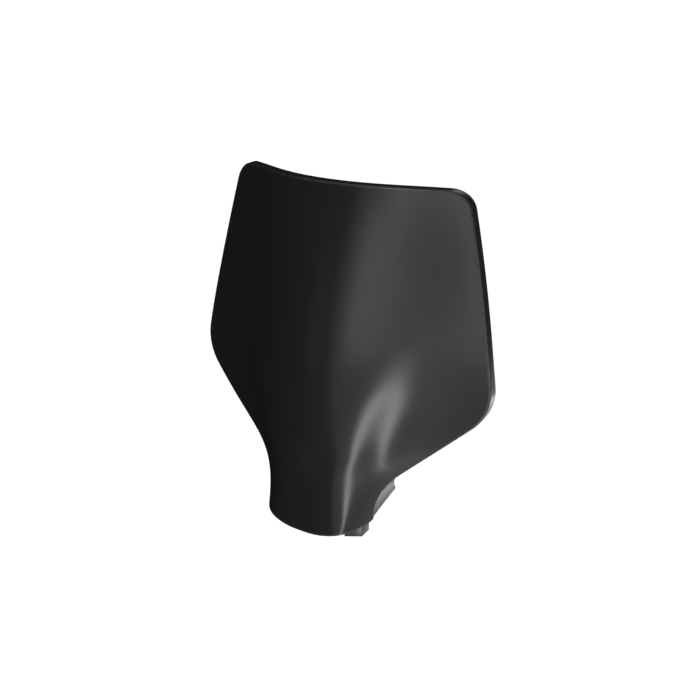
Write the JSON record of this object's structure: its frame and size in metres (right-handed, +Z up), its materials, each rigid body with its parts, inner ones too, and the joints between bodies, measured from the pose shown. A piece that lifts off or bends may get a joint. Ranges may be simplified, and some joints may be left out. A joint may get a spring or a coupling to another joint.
{
  "type": "racing number board",
  "caption": "Shield-shaped moulded plastic front number board for an off-road racing motorbike, with swept wings, turned-back rim, half-tube neck and screw bracket.",
  "frame": {"origin": "centre of the screw hole, on the top of its boss in the bracket behind the neck", "axes": "+Z up the board, +Y to the rear of the motorbike, X across; the board faces -Y"},
  "size_m": [0.2594, 0.0776, 0.2835],
  "materials": {
    "black_plastic": "satin"
  },
  "bodies": {
    "root": {"number_board": "black_plastic"}
  },
  "joints": []
}
